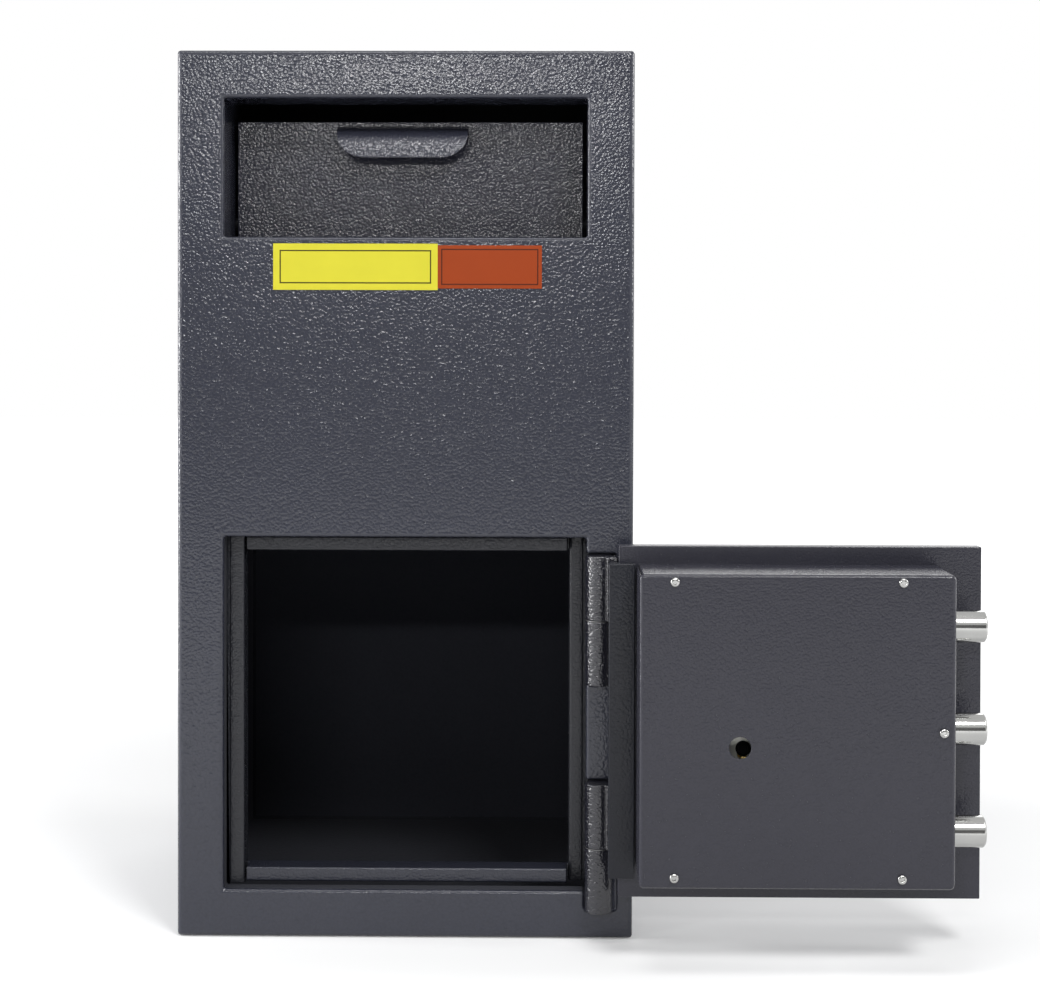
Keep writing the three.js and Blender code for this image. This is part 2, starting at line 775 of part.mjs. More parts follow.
function handleCrank() {
  const depth = [crankFront, crankFront + crankWall];
  const pinAt = [handleX - crankRadius * Math.SQRT1_2, spindleZ - crankRadius * Math.SQRT1_2];
  const arm = new THREE.Shape();
  const endRadius = crankPinRadius + 3;
  arm.moveTo(handleX - endRadius * Math.SQRT1_2, spindleZ + endRadius * Math.SQRT1_2);
  arm.lineTo(pinAt[0] - endRadius * Math.SQRT1_2, pinAt[1] + endRadius * Math.SQRT1_2);
  arm.absarc(pinAt[0], pinAt[1], endRadius, 0.75 * Math.PI, 1.75 * Math.PI);
  arm.lineTo(handleX + endRadius * Math.SQRT1_2, spindleZ - endRadius * Math.SQRT1_2);
  return rod('y', crankHubRadius, depth, [handleX, spindleZ])
    .add(prism(arm, 'y', depth))
    .add(rod('y', crankPinRadius, [crankFront, carriageBack + 1.5], pinAt, smallSides))
    .subtract(rod('y', spindleRadius + fitGap, [crankFront - 1, crankFront + crankWall + 0.2], [handleX, spindleZ]));
}

// Combination lock: ring and dial outside, spindle through the door, wheels and cam in the case
function dialRing() {
  const back = doorSetback - fitGap;
  const ring = turned([
    [0, back - dialRingHeight],
    [dialRingRadius - 4, back - dialRingHeight],
    [dialRingRadius, back - dialRingHeight + 4],
    [dialRingRadius, back],
    [0, back],
  ], [lockX, lockZ], fineSides);
  const well = rod('y', dialRadius + 1, [-dialRingHeight - 2, back - 3], [lockX, lockZ], fineSides);
  const hole = rod('y', dialSpindleRadius + runGap, [-dialRingHeight - 2, back + 1], [lockX, lockZ]);
  return ring.subtract(well).subtract(hole);
}

function dial() {
  const back = doorSetback - fitGap - 3 - runGap;
  const front = back - dialHeight;
  const knob = turned([
    [0, front],
    [dialKnobRadius - 2, front],
    [dialKnobRadius, front + 2],
    [dialKnobRadius, back - 11],
    [dialRadius - 2, back - 7],
    [dialRadius, back - 4],
    [dialRadius, back],
    [0, back],
  ], [lockX, lockZ], fineSides);
  return knob.subtract(rod('y', dialSpindleRadius + fitGap, [back - dialHeight / 2, back + 1], [lockX, lockZ]));
}

function dialSpindle() {
  const outer = doorSetback - fitGap - 3 - runGap - dialHeight / 2;
  return rod('y', dialSpindleRadius, [outer + fitGap, lockBack - fitGap], [lockX, lockZ]);
}

function hardPlate() {
  const left = lockX - lockWidth / 2 - hardPlateMargin;
  const plate = block(
    [left, left + lockWidth + 2 * hardPlateMargin],
    [plateInner + fitGap, hardPlateBack],
    [lockBottom - hardPlateMargin, lockTop],
  );
  return plate.subtract(rod('y', dialSpindleRadius + runGap, [plateInner, hardPlateBack + 1], [lockX, lockZ]));
}

function lockCase() {
  const left = lockX - lockWidth / 2;
  const right = lockX + lockWidth / 2;
  const caseBlock = block([left, right], [lockFront, lockBack], [lockBottom, lockTop]);
  const hollow = block(
    [left + lockWall, right - lockWall],
    [lockFront + lockWall, lockBack + 1],
    [lockBottom + lockWall, lockTop - lockWall],
  );
  const window = block(
    [lockX - lockBoltWidth / 2 - fitGap, lockX + lockBoltWidth / 2 + fitGap],
    [lockBoltY - lockBoltDepth / 2 - fitGap, lockBoltY + lockBoltDepth / 2 + fitGap],
    [lockTop - lockWall - 1, lockTop + 1],
  );
  const hole = rod('y', dialSpindleRadius + runGap, [lockFront - 1, lockBack], [lockX, lockZ]);
  return caseBlock.subtract(hollow).subtract(window).subtract(hole);
}

function lockCover() {
  const left = lockX - lockWidth / 2;
  const plate = block(
    [left, left + lockWidth],
    [lockBack + fitGap, lockBack + fitGap + lockCoverWall],
    [lockBottom, lockTop],
  );
  const holeAt = [lockX + changeHoleX, lockZ + changeHoleZ];
  return plate.subtract(rod('y', changeHoleRadius, [lockBack, lockBack + lockCoverWall + 1], holeAt));
}

// Disc on the spindle with a gate cut in its rim
function gatedDisc(radius, wall, front, turn) {
  const disc = rod('y', radius, [front, front + wall], [lockX, lockZ], fineSides)
    .subtract(rod('y', dialSpindleRadius + fitGap, [front - 1, front + wall + 1], [lockX, lockZ]));
  const gate = new THREE.BoxGeometry(gateWidth, wall + 2, gateDepth);
  gate.translate(0, front + wall / 2, radius - gateDepth / 2 + 1).rotateY(turn).translate(lockX, 0, lockZ);
  return disc.subtract(solid(gate));
}

const camFront = lockBack - fitGap - camWall;

function lockWheel(index) {
  const front = camFront - (index + 1) * wheelPitch;
  return gatedDisc(wheelRadius, wheelWall, front, 0.5 + index * 1.3);
}

function driveCam() {
  return gatedDisc(camRadius, camWall, camFront, 0);
}

function lockBolt() {
  const depth = [lockBoltY - lockBoltDepth / 2, lockBoltY + lockBoltDepth / 2];
  const bottom = lockBoltTop - lockBoltLength;
  const right = lockX + lockWidth / 2 - lockWall - 2;
  const leverDepth = [lockBoltY - 2, lockBoltY + 2];
  return block([lockX - lockBoltWidth / 2, lockX + lockBoltWidth / 2], depth, [bottom, lockBoltTop])
    .add(block([lockX, right], leverDepth, [bottom, bottom + 6]))
    .add(block([right - 4, right], leverDepth, [lockZ, bottom + 6]));
}

// Folded collar behind the upper opening, with the ears and stops that carry the drawer
function surroundEar() {
  const top = mouthTop + surroundWall;
  const bottom = mouthBottom - surroundWall;
  return polygon([
    [bodyWall + fitGap, bottom],
    [earDepth - 26, bottom],
    [earDepth - 16, bottom - earDrop],
    [earDepth, bottom - earDrop],
    [earDepth, top - 20],
    [earDepth - 20, top],
    [bodyWall + fitGap, top],
  ]);
}

function hopperSurround() {
  const sheet = [bodyWall + fitGap, recessDepth - 1.5];
  let surround = block([-mouthHalf - surroundWall, mouthHalf + surroundWall], sheet, [mouthTop, mouthTop + surroundWall])
    .add(block(
      [-mouthHalf - surroundWall, mouthHalf + surroundWall],
      sheet,
      [mouthBottom - surroundWall, mouthBottom],
    ));
  for (const side of [-1, 1]) {
    const limits = [side * mouthHalf, side * (mouthHalf + surroundWall)].sort((a, b) => a - b);
    const reach = [side * (mouthHalf - stopReach), side * (mouthHalf + 1)].sort((a, b) => a - b);
    surround = surround
      .add(prism(surroundEar(), 'x', limits))
      .add(prism(trayStrip([stopFromFront, stopFromFront + stopLength], [-trayWall - fitGap - stopWall, -trayWall - fitGap]), 'x', reach))
      .subtract(rod('x', pivotRadius + runGap, [limits[0] - 1, limits[1] + 1], [pivotY, pivotZ]));
  }
  return surround;
}

// Strip drawn along the slope of the tray: distance back from its front, and height over its upper face
function trayStrip([from, to], [low, high]) {
  const place = (along, over) => [
    trayFrontY + along * Math.cos(traySlope) + over * Math.sin(traySlope),
    trayFrontZ - along * Math.sin(traySlope) + over * Math.cos(traySlope),
  ];
  return polygon([place(from, low), place(to, low), place(to, high), place(from, high)]);
}

function hopperFront() {
  return block([-drawerHalf, drawerHalf], [recessDepth, drawerBack], [drawerBottom, drawerTop]);
}

// Curved lip, rolled over a quarter of an ellipse and rounded off at both lower corners
function hopperLip() {
  const back = recessDepth - fitGap;
  const bottom = drawerTop - lipBelowTop - lipHeight;
  const profile = new THREE.Shape();
  profile.moveTo(back, bottom + lipHeight);
  profile.absellipse(back, bottom, lipReach, lipHeight, Math.PI / 2, Math.PI, false, 0);
  profile.lineTo(back - lipReach + lipSheet, bottom);
  profile.absellipse(back, bottom, lipReach - lipSheet, lipHeight - lipSheet, Math.PI, Math.PI / 2, true, 0);
  const left = lipShift - lipWidth / 2;
  const right = lipShift + lipWidth / 2;
  const rolled = prism(profile, 'x', [left, right], { curve: 10 });
  const front = new THREE.Shape();
  front.moveTo(left, bottom + lipHeight + 1);
  front.lineTo(left, bottom + lipCornerHeight);
  front.absellipse(left + lipCornerWidth, bottom + lipCornerHeight, lipCornerWidth, lipCornerHeight,
    Math.PI, 1.5 * Math.PI, false, 0);
  front.lineTo(right - lipCornerWidth, bottom);
  front.absellipse(right - lipCornerWidth, bottom + lipCornerHeight, lipCornerWidth, lipCornerHeight,
    1.5 * Math.PI, 2 * Math.PI, false, 0);
  front.lineTo(right, bottom + lipHeight + 1);
  return rolled.intersect(prism(front, 'y', [back - lipReach - 1, back + 1], { curve: 8 }));
}

// Side plate of the drawer: a sector round the pivot, from the front to the end of the tray
function hopperSide(side) {
  const outline = new THREE.Shape();
  const topY = drawerBack + fitGap;
  const reach = Math.hypot(topY - pivotY, drawerTop - 2 - pivotZ);
  const fromAngle = Math.atan2(drawerTop - 2 - pivotZ, topY - pivotY);
  const toAngle = Math.atan2(trayEndZ - pivotZ, trayEndY - pivotY);
  const steps = 8;
  outline.moveTo(topY, trayFrontZ - trayWall * Math.cos(traySlope));
  outline.lineTo(topY, drawerTop - 2);
  for (let i = 1; i <= steps; i += 1) {
    const share = i / steps;
    const angle = THREE.MathUtils.lerp(fromAngle, toAngle, share);
    const radius = THREE.MathUtils.lerp(reach, traySweep, share);
    outline.lineTo(pivotY + radius * Math.cos(angle), pivotZ + radius * Math.sin(angle));
  }
  outline.lineTo(trayEndY - trayWall * Math.sin(traySlope), trayEndZ - trayWall * Math.cos(traySlope));
  const limits = [side * (drawerHalf - drawerSideWall), side * drawerHalf].sort((a, b) => a - b);
  return prism(outline, 'x', limits)
    .subtract(rod('x', pivotRadius + runGap, [limits[0] - 1, limits[1] + 1], [pivotY, pivotZ]));
}

function hopperTray() {
  return prism(trayStrip([0, trayLength], [-trayWall, 0]), 'x', [-trayHalf, trayHalf]);
}

function hopperPivot(side) {
  const outside = mouthHalf + surroundWall + fitGap;
  const inside = drawerHalf - drawerSideWall - 3;
  const shank = [side * inside, side * (outside + 1)].sort((a, b) => a - b);
  const head = [side * outside, side * (outside + pivotHeadHeight)].sort((a, b) => a - b);
  return rod('x', pivotRadius, shank, [pivotY, pivotZ]).add(rod('x', pivotHeadRadius, head, [pivotY, pivotZ]));
}

// Fixed plate that hangs from the roof behind the drawer, toothed along its lower edge
function antiFishBaffle() {
  const top = bodyHeight - bodyWall - fitGap;
  const front = pivotY + traySweep + baffleBehindTray;
  const half = innerHalf - fitGap;
  const bottom = top - baffleHeight;
  const teeth = Math.floor(2 * half / toothPitch);
  const outline = [[-half, top], [-half, bottom]];
  for (let i = 0; i < teeth; i += 1) {
    const start = -teeth * toothPitch / 2 + i * toothPitch;
    outline.push([start, bottom], [start + toothPitch / 2, bottom + toothDepth]);
  }
  outline.push([teeth * toothPitch / 2, bottom], [half, bottom], [half, top]);
  return prism(polygon(outline), 'y', [front, front + baffleWall])
    .add(block([-half, half], [front, front + baffleFlange], [top - baffleWall, top]));
}

function sticker(left, top, width, height) {
  const levels = [-fitGap - stickerWall, -fitGap];
  return block([left, left + width], levels, [top - height, top]);
}

// Whole object
const safe = new THREE.Group();
const front = new THREE.Group();
front.position.y = frontY;
safe.add(front);

const stickerTop = mouthBottom - stickerDrop;
const yellowX = -mouthHalf + yellowInset;
front.add(
  piece('body_shell', bodyShell(), paint),
  piece('back_panel', backPanel(), paint),
  piece('jamb_latch_side', latchJamb(), paint),
  piece('jamb_hinge_side', hingeJamb(), paint),
  piece('header_bar', crossBar(doorwayTop - headerInset - crossBarHeight), paint),
  piece('sill_bar', crossBar(doorwayBottom + crossBarRimGap), paint),
  piece('hopper_surround', hopperSurround(), paint),
  piece('hopper_front', hopperFront(), paint),
  piece('hopper_lip', hopperLip(), paint),
  piece('hopper_side_left', hopperSide(-1), paint),
  piece('hopper_side_right', hopperSide(1), paint),
  piece('hopper_tray', hopperTray(), paint),
  piece('hopper_pivot_left', hopperPivot(-1), darkPaint),
  piece('hopper_pivot_right', hopperPivot(1), darkPaint),
  piece('anti_fish_baffle', antiFishBaffle(), darkPaint),
  piece('sticker_yellow', sticker(yellowX, stickerTop, yellowWidth, yellowHeight), yellow),
  piece('sticker_brown',
    sticker(yellowX + yellowWidth, stickerTop - brownDrop, brownWidth, brownHeight), brown),
);
for (const [level, bottom] of Object.entries(hingeBottoms)) {
  front.add(
    piece(`body_knuckle_${level}`, bodyKnuckle(bottom), paint),
    piece(`hinge_pin_${level}`, hingePin(bottom), darkSteel),
  );
}

// Door, turned about the hinge axis
const hinge = new THREE.Group();
hinge.position.set(hingeX, hingeY, 0);
hinge.rotation.z = doorOpenAngle;
front.add(hinge);
const door = new THREE.Group();
door.position.set(-hingeX, -hingeY, 0);
hinge.add(door);

door.add(
  piece('door_plate', doorPlate(), paint),
  piece('dead_bar', deadBar(), paint),
  piece('boltwork_cover', boltworkCover(), paint),
  piece('bolt_guide', boltGuide(), darkSteel),
  piece('bolt_carriage', boltCarriage(), darkSteel),
  piece('handle_rose', handleRose(), bareSteel),
  piece('handle_lever', handleLever(), bareSteel),
  piece('handle_spindle', handleSpindle(), darkSteel),
  piece('spindle_bush', spindleBush(), brass),
  piece('handle_crank', handleCrank(), darkSteel),
  piece('hard_plate', hardPlate(), darkSteel),
  piece('lock_case', lockCase(), zinc),
  piece('lock_cover', lockCover(), zinc),
  piece('lock_bolt', lockBolt(), brass),
  piece('drive_cam', driveCam(), brass),
  piece('dial_ring', dialRing(), bareSteel),
  piece('dial', dial(), black),
  piece('dial_spindle', dialSpindle(), darkSteel),
);
for (const [level, bottom] of Object.entries(hingeBottoms)) {
  door.add(piece(`door_knuckle_${level}`, doorKnuckle(bottom), paint));
}
for (const [level, height] of Object.entries(boltHeights)) {
  door.add(piece(`locking_bolt_${level}`, lockingBolt(height), bareSteel));
}
studHeights.forEach((height, index) => {
  door.add(piece(`guide_stud_${index + 1}`, guideStud(height), darkSteel));
});
[...postScrews, guideScrew].forEach((place, index) => {
  door.add(piece(`cover_screw_${index + 1}`, coverScrew(place), bareSteel));
});
postScrews.forEach((place, index) => {
  door.add(piece(`cover_post_${index + 1}`, coverPost(place), darkSteel));
});
for (let index = 0; index < wheelCount; index += 1) {
  door.add(piece(`lock_wheel_${index + 1}`, lockWheel(index), brass));
}

export default safe;
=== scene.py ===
from math import pi, radians

import bmesh
import bpy
import numpy as np
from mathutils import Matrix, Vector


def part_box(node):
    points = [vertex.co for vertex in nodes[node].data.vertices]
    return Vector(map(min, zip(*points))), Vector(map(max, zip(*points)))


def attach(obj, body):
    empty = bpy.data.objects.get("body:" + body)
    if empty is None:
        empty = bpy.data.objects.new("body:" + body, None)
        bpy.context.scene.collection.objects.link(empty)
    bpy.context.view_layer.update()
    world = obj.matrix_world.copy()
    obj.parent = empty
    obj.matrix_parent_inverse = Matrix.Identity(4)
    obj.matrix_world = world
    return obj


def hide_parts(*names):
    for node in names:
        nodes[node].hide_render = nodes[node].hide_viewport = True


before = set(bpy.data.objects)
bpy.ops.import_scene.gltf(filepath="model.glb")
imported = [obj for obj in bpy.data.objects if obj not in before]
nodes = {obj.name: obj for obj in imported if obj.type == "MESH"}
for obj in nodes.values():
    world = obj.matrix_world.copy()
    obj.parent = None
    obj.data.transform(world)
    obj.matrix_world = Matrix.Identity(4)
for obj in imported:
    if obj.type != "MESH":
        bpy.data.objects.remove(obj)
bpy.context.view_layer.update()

# Stage: the camera stands where the photograph was taken from, a metre and a half in front of the
# safe and a little to the right of its middle. Its frame is shifted down, as with a lens that is
# held almost level and lowered.
def placed(name, data):
    """Object of a camera, a lamp, a text or a mesh, put into the scene."""
    made = bpy.data.objects.new(name, data)
    bpy.context.scene.collection.objects.link(made)
    return made


camera_data = bpy.data.cameras.new("camera")
camera_data.sensor_width = 36.0
camera_data.lens = 66.8
camera_data.shift_x = -0.0159
camera_data.shift_y = -0.133
camera = placed("camera", camera_data)
camera.location = (0.120, -1.678, 0.472)
camera.rotation_euler = (radians(89.17), radians(-0.15), radians(0.68))
bpy.context.scene.camera = camera
bpy.context.scene.view_settings.view_transform = "Standard"


# Room: a dim, slightly cool light from all round, which the lens and polished surfaces see as white.
# A low bar of light over the lens makes the enamel glint, soft boxes hang to the right, overhead and
# behind, and a strip and two tall boxes stand at the sides.
class Wire:
    """One value that runs through a finish. Sums written on wires add their Math nodes."""

    def __init__(self, tree, socket):
        self.tree, self.socket = tree, socket

    def of(self, name):
        """The wire from another output of the same node."""
        return Wire(self.tree, self.socket.node.outputs[name])

    def maths(self, operation, *values):
        """Math node on wires and numbers."""
        return self.tree.node("ShaderNodeMath", {"operation": operation}, dict(enumerate(values)))

    def __add__(self, other):
        return self.maths("ADD", self, other)

    def __sub__(self, other):
        return self.maths("SUBTRACT", self, other)

    def __rsub__(self, other):
        return self.maths("SUBTRACT", other, self)

    def __mul__(self, other):
        return self.maths("MULTIPLY", self, other)

    def __lt__(self, other):
        return self.maths("LESS_THAN", self, other)

    def __gt__(self, other):
        return self.maths("GREATER_THAN", self, other)

    def __abs__(self):
        return self.maths("ABSOLUTE", self)

    __radd__ = __add__
    __rmul__ = __mul__


class Tree:
    """Node tree of a finish or of the room, emptied, with one method that adds any node."""

    def __init__(self, owner):
        owner.use_nodes = True
        self.nodes, self.links = owner.node_tree.nodes, owner.node_tree.links
        self.nodes.clear()

    def node(self, kind, settings=None, sockets=None, out=0):
        """Node of that kind with its settings, then its sockets set or linked, and one output's wire."""
        made = self.nodes.new(kind)
        for name, value in (settings or {}).items():
            setattr(made, name, value)
        for name, value in (sockets or {}).items():
            if isinstance(value, Wire):
                self.links.new(value.socket, made.inputs[name])
            else:
                made.inputs[name].default_value = value
        return Wire(self, made.outputs[out]) if made.outputs else None

    def principled(self, **sockets):
        """The surface, with its sockets named in small letters."""
        named = {name.replace("_", " ").title().replace("Ior", "IOR"): value
                 for name, value in sockets.items()}
        surface = self.node("ShaderNodeBsdfPrincipled", {}, named)
        self.node("ShaderNodeOutputMaterial", {}, {"Surface": surface})

    def mixed(self, factor, first, second):
        """Blend of two colours by a factor."""
        return self.node("ShaderNodeMix", {"data_type": "RGBA"}, {0: factor, 6: first, 7: second}, out=2)


def grey(level):
    """Colour of that level, with a full alpha."""
    return (level, level, level, 1.0)


world = bpy.data.worlds.new("white_room")
bpy.context.scene.world = world
room = Tree(world)
ray = room.node("ShaderNodeLightPath")
ambient = room.node("ShaderNodeBackground", {}, {"Color": (0.95, 0.97, 1.0, 1.0), "Strength": 0.22})
white = room.node("ShaderNodeBackground", {}, {"Color": grey(1.0), "Strength": 1.0})
seen = (ray + ray.of("Is Glossy Ray") + ray.of("Is Transmission Ray")) > 0.5
room.node("ShaderNodeOutputWorld", {}, {
    "Surface": room.node("ShaderNodeMixShader", {}, {0: seen, 1: ambient, 2: white}),
})

LAMPS = {  # place, point that it faces, width and height in metres, watts
    "bar_in_front": ((-0.15, -2.5, 1.08), (0.05, -0.15, 0.45), (0.8, 0.07), 10.5),
    "box_right": ((0.9, -1.8, 2.0), (0.05, -0.15, 0.45), (0.6, 0.5), 28.0),
    "box_overhead": ((0.05, -0.6, 2.6), (0.05, -0.15, 0.45), (1.2, 0.6), 14.0),
    "strip_left": ((-1.75, -1.6, 0.9), (-0.1, -0.15, 0.4), (0.2, 1.5), 8.0),
    "side_left": ((-2.2, -0.25, 0.75), (-0.1, -0.15, 0.4), (0.6, 1.3), 60.0),
    "side_right": ((2.4, -0.1, 1.1), (0.0, -0.15, 0.6), (0.6, 0.9), 26.0),
    "box_behind": ((0.6, 2.2, 1.7), (0.0, 0.1, 0.35), (1.6, 1.2), 18.0),
}
for name, (place, target, (width, height), watts) in LAMPS.items():
    lamp_data = bpy.data.lights.new(name, "AREA")
    lamp_data.shape = "RECTANGLE"
    lamp_data.size, lamp_data.size_y = width, height
    lamp_data.energy = watts
    lamp = placed(name, lamp_data)
    lamp.location = place
    aim = np.subtract(target, place)
    flat = np.hypot(aim[0], aim[1])
    lamp.rotation_euler = (pi / 2 + np.arctan2(aim[2], flat), 0.0, np.arctan2(aim[1], aim[0]) - pi / 2)


# Floor: white, with the shadow of the safe. It glows more with the distance from the safe, so that it
# runs into the white of the room, and only for the lens and in polished metal.
FLOOR_HALF, FLOOR_DROP = 9.0, 0.0004
floor_mesh = bpy.data.meshes.new("floor")
floor_corners = [(-FLOOR_HALF, -FLOOR_HALF, 0), (FLOOR_HALF, -FLOOR_HALF, 0),
                 (FLOOR_HALF, FLOOR_HALF, 0), (-FLOOR_HALF, FLOOR_HALF, 0)]
floor_mesh.from_pydata(floor_corners, [], [(0, 1, 2, 3)])
floor = placed("floor", floor_mesh)
floor.location.z = -FLOOR_DROP
floor_finish = bpy.data.materials.new("floor_white")
ground = Tree(floor_finish)
ray = ground.node("ShaderNodeLightPath")
place = ground.node("ShaderNodeTexCoord", out=3)
away = ground.node("ShaderNodeVectorMath", {"operation": "LENGTH"}, {0: place}, out=1)
fade = ground.node("ShaderNodeMapRange", {"interpolation_type": "SMOOTHSTEP"}, {
    "Value": away, "From Min": 0.5, "From Max": 2.0, "To Min": 0.12, "To Max": 1.0,
})
chalk = ground.node("ShaderNodeBsdfDiffuse", {}, {"Color": grey(0.8)})
glow = ground.node("ShaderNodeEmission", {}, {"Color": grey(1.0), "Strength": fade})
lit = ground.node("ShaderNodeAddShader", {}, {0: chalk, 1: glow})
seen = (ray + ray.of("Is Glossy Ray") + ray.of("Is Transmission Ray")) > 0.5
ground.node("ShaderNodeOutputMaterial", {}, {
    "Surface": ground.node("ShaderNodeMixShader", {}, {0: seen, 1: chalk, 2: lit}),
})
floor_mesh.materials.append(floor_finish)


# Grey card: a board on the floor behind the camera. The lens can't see it and it casts no light or
# shadow. It only dims the gloss of the faces turned to it, and gives the bolts their dark band.
CARD_HALF, CARD_Y, CARD_TOP = 1.7, -3.4, 1.35
card_mesh = bpy.data.meshes.new("grey_card")
card_corners = [(-CARD_HALF, CARD_Y, 0), (CARD_HALF, CARD_Y, 0),
                (CARD_HALF, CARD_Y, CARD_TOP), (-CARD_HALF, CARD_Y, CARD_TOP)]
card_mesh.from_pydata(card_corners, [], [(0, 1, 2, 3)])
card = placed("grey_card", card_mesh)
card.visible_camera = card.visible_diffuse = card.visible_shadow = False
card_finish = bpy.data.materials.new("grey_card")
felt = Tree(card_finish)
matt = felt.node("ShaderNodeEmission", {}, {"Color": grey(0.2)})
felt.node("ShaderNodeOutputMaterial", {}, {"Surface": matt})
card_mesh.materials.append(card_finish)


# Steel box: 4 mm sheet folded round the face, sides, top and bottom, with rims turned in round the
# doorway and the deposit mouth. It is sprayed with a slate grey hammer enamel, whose skin dries into
# short worm-like bumps that glint.
def shaded(colour, factor):
    """The colour times the factor, with a full alpha."""
    return tuple(channel * factor for channel in colour) + (1.0,)


def hammer_enamel(name, bump=0.0002, base=(0.028, 0.03, 0.043), gloss=0.12, shine=0.5, grain=460.0,
                  hollow=None):
    """Enamel on Object coordinates. It dries in domes, `grain` of them to the metre, each 1 - d^2 high
    at a distance d from its middle, with finer noise over them, all `bump` metres deep. `gloss` is its
    roughness between the domes and `shine` its specular level. Inside the hollow, a box given by its
    two corners, the colour is painted darker, as shade inside the steel box, and the skin has no gloss."""
    material = bpy.data.materials.new(name)
    tree = Tree(material)
    place = tree.node("ShaderNodeTexCoord", out=3)
    dome = tree.node("ShaderNodeTexVoronoi", {"feature": "F1"}, {"Vector": place, "Scale": grain})
    fine_grain = grain * 1.9
    fine = tree.node("ShaderNodeTexNoise", {}, {"Vector": place, "Scale": fine_grain, "Detail": 1.0})
    cloud = tree.node("ShaderNodeTexNoise", {}, {"Vector": place, "Scale": 9.0, "Detail": 3.0})
    raised = 1.0 - dome * dome + fine * 0.5
    light, dark, painted_inner_shade = shaded(base, 1.2), shaded(base, 0.84), shaded(base, 0.6)
    colour = tree.mixed(dome * 0.5 + cloud * 0.5, light, dark)
    rough = gloss + dome * 0.08
    if hollow:
        parts = tree.node("ShaderNodeSeparateXYZ", {}, {"Vector": place})
        within = 1.0
        for axis, low, high in zip("XYZ", *hollow):
            within = (parts.of(axis) > low) * (parts.of(axis) < high) * within
        chalky = 0.9
        # Painted shade: the colour is darker inside the hollow.
        colour = tree.mixed(within, colour, painted_inner_shade)
        rough = rough + within * (chalky - gloss)
    relief = tree.node("ShaderNodeBump", {}, {"Strength": 1.0, "Distance": bump, "Height": raised})
    tree.principled(base_color=colour, roughness=rough, normal=relief, specular_ior_level=shine)
    return material


MERGE, CUT_NEAR = 2e-6, 1e-6  # metres within which corners are joined and lie on the cut
FLAT_TURN, EDGE_TURN = radians(0.4), radians(32)  # under the first is flat, over the second is an edge


def eased(node, body, material, rub, steps=2):
    """Copy of a solid with its corners rubbed round. Its triangles are joined into whole faces on each
    side of a cut through its middle, so that a face round an opening has no hole in it. Then every
    edge that turns by more than 32 degrees gets a round as wide as `rub`."""
    shape = bmesh.new()
    shape.from_mesh(nodes[node].data)
    bmesh.ops.remove_doubles(shape, verts=shape.verts, dist=MERGE)
    middle = sum(corner[0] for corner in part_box(node)) / 2
    whole = shape.verts[:] + shape.edges[:] + shape.faces[:]
    cut = bmesh.ops.bisect_plane(
        shape, geom=whole, dist=CUT_NEAR, plane_co=(middle, 0, 0), plane_no=(1, 0, 0))
    for edge in cut["geom_cut"]:
        if isinstance(edge, bmesh.types.BMEdge):
            edge.seam = True
    bmesh.ops.dissolve_limit(
        shape, angle_limit=FLAT_TURN, verts=shape.verts, edges=shape.edges, delimit={"SEAM"})
    mesh = bpy.data.meshes.new(node + "_eased")
    shape.to_mesh(mesh)
    shape.free()
    mesh.shade_smooth()
    mesh.materials.append(material)
    piece = placed(node + "_eased", mesh)
    bevel = piece.modifiers.new("rubbed edges", "BEVEL")
    bevel.width = rub
    bevel.segments = steps
    bevel.limit_method = "ANGLE"
    bevel.angle_limit = EDGE_TURN
    bevel.use_clamp_overlap = False
    bevel.harden_normals = False
    bevel.miter_outer = "MITER_ARC"
    normals = piece.modifiers.new("flat faces", "WEIGHTED_NORMAL")
    normals.keep_sharp = True
    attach(piece, body)
    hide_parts(node)
    return piece


SHEET, INNER_SKIN = 0.004, 0.9  # thickness, and the share of it behind which the hollow begins
box_low, box_high = (np.array(corner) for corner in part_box("body_shell"))
hollow = (box_low + SHEET * INNER_SKIN, box_high - SHEET * INNER_SKIN)
enamel = hammer_enamel("hammer_enamel")
# Inside the box the enamel is painted darker, as shade.
enamel_box = hammer_enamel("hammer_enamel_box", hollow=(hollow[0].tolist(), hollow[1].tolist()))
eased("body_shell", "body", enamel_box, rub=0.002)
eased("back_panel", "body", enamel_box, rub=0.0006)
eased("hopper_surround", "body", enamel, rub=0.0008)


# Jambs, header and sill: folded angles and square bars welded behind the doorway. Enamelled with the
# box; the jambs and header in a darker enamel, painted shade for their place behind the face.
# Painted shade: an enamel darker than the box's, for parts that lie in shade.
enamel_painted_shade = hammer_enamel("hammer_enamel_painted_shade", base=(0.022, 0.023, 0.028), gloss=0.2, shine=0.35,
                              grain=500.0)
for name, finish in (("jamb_latch_side", enamel_painted_shade), ("jamb_hinge_side", enamel_painted_shade),
                     ("header_bar", enamel_painted_shade), ("sill_bar", enamel)):
    eased(name, "body", finish, rub=0.0006)


# Back seam: a thin fillet of weld inside the box, all round the edge of the back panel. It has the
# same darker enamel as the jambs, painted shade for the inside of the box.
SHARP_TURN = radians(38)


def ring_mesh(name, x, y, z, material, closed=True):
    """Quads round the rings. A closed one has a flat polygon on its first and its last ring."""
    rows, columns = x.shape
    index = np.arange(rows * columns).reshape(rows, columns)
    ahead = np.roll(index, -1, axis=1)
    quads = np.stack([index[:-1], ahead[:-1], ahead[1:], index[1:]], axis=-1).reshape(-1, 4).tolist()
    if closed:
        quads += [index[0, ::-1].tolist(), index[-1].tolist()]
    mesh = bpy.data.meshes.new(name)
    mesh.from_pydata(np.stack([x, y, z], axis=-1).reshape(-1, 3), [], quads)
    mesh.shade_smooth()
    mesh.set_sharp_from_angle(angle=SHARP_TURN)
    mesh.materials.append(material)
    return placed(name, mesh)


